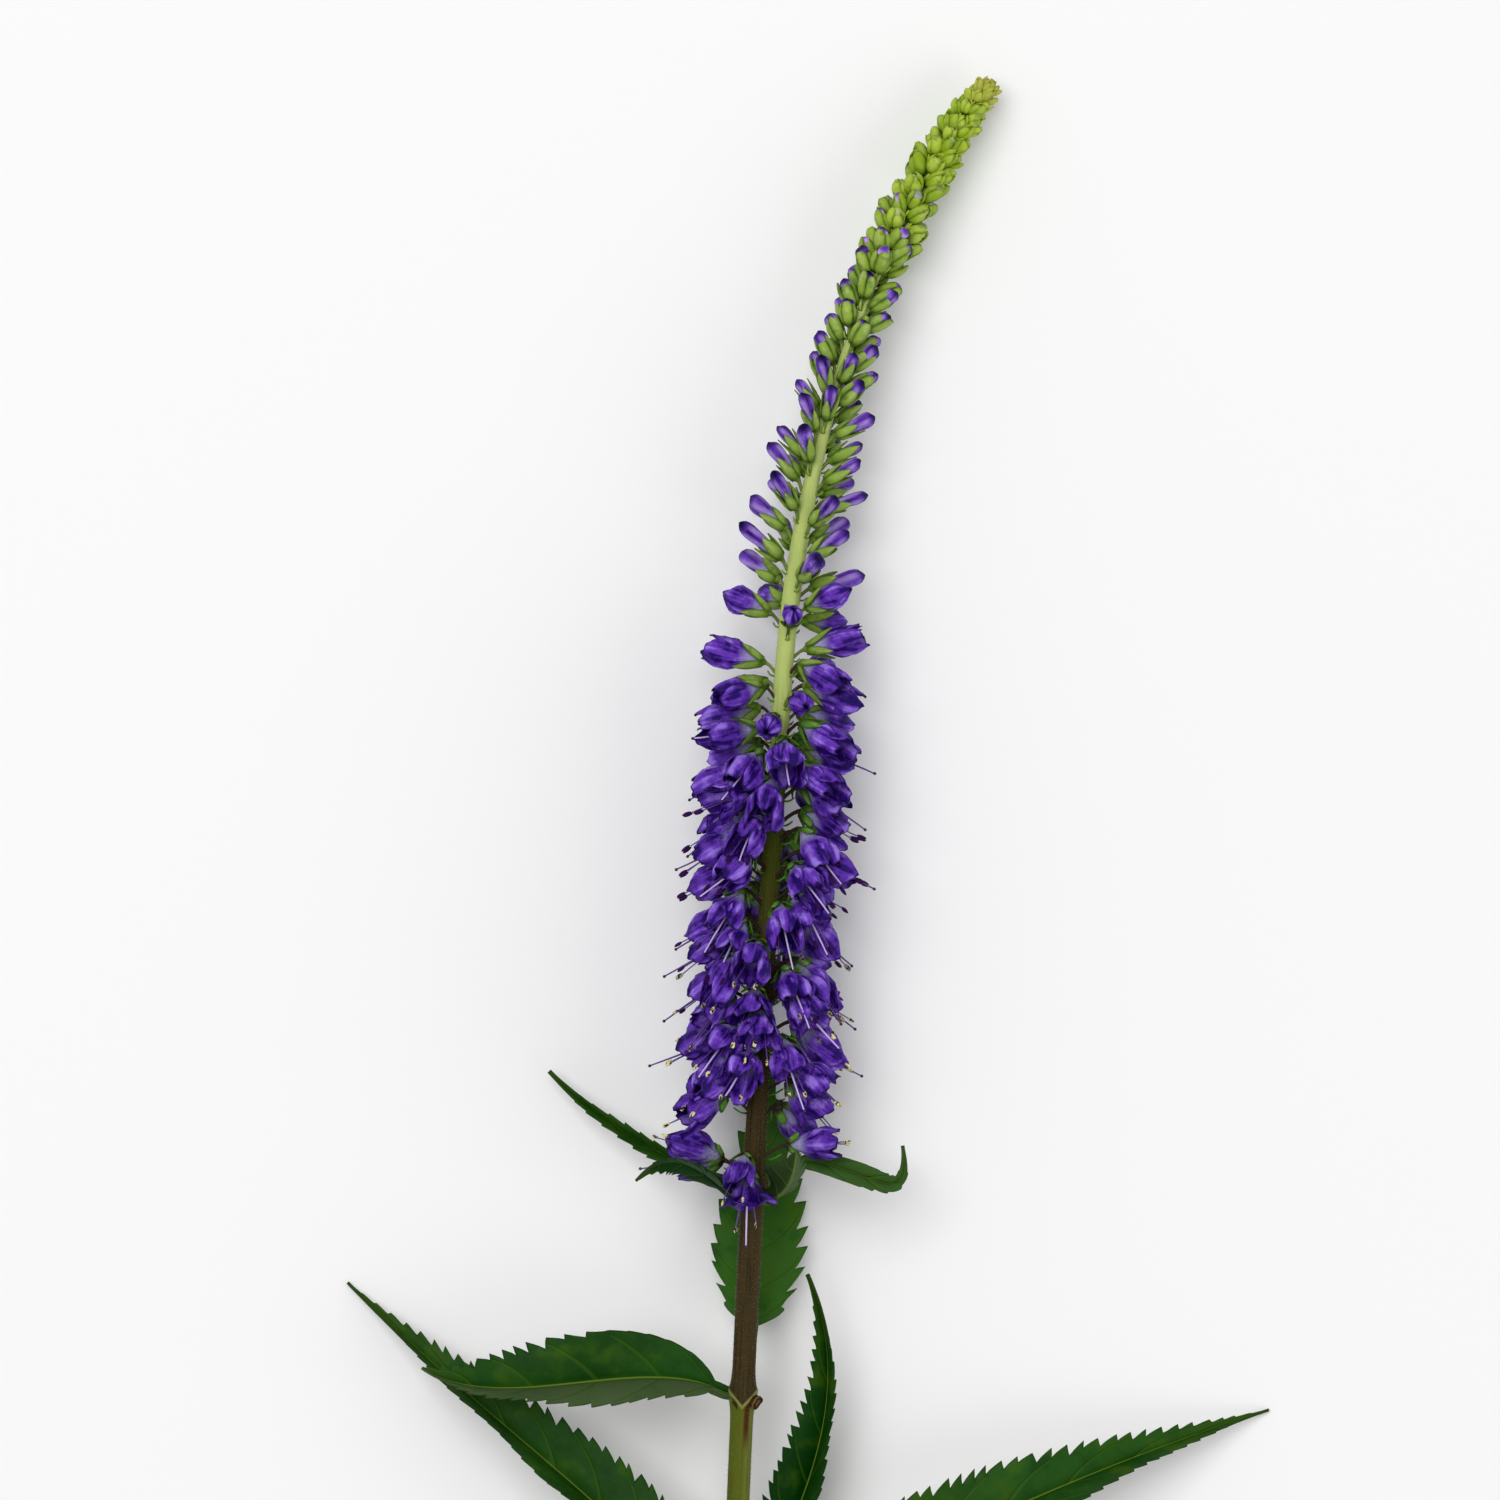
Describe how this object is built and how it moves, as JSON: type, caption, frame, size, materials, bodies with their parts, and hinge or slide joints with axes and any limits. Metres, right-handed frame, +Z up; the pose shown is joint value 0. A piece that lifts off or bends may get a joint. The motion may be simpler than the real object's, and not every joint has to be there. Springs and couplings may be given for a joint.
{
  "type": "cut veronica flower stem",
  "caption": "Cut spiked speedwell stem lying down: a slender stalk with whorls of toothed leaves and a long tapering spike of violet bell florets that ends in green buds.",
  "frame": {"origin": "on the surface that the stem lies on, under the middle of the whole stem's box", "axes": "+Y along the stem from its cut end towards the tip of the spike, +X to its right seen from above, +Z up from the surface"},
  "size_m": [0.1216, 0.3754, 0.0295],
  "materials": {
    "stem": "matt, finely haired, olive green below and brown purple above",
    "leaf": "dark green, faintly glossy, with paler veins and a grey green underside",
    "bell": "thin violet petal, satin",
    "bud": "green calyx with a violet top, satin",
    "tip": "yellow green, satin"
  },
  "bodies": {
    "root": {"stem": "stem", "leaf_lower_left": "leaf", "leaf_lower_back": "leaf", "leaf_lower_right": "leaf", "leaf_middle_left": "leaf", "leaf_middle_back": "leaf", "leaf_upper_left": "leaf", "leaf_upper_left_front": "leaf", "leaf_upper_right": "leaf", "leaf_upper_front": "leaf", "spike_open": "bell", "spike_buds": "bud", "spike_tip": "tip"}
  },
  "joints": []
}
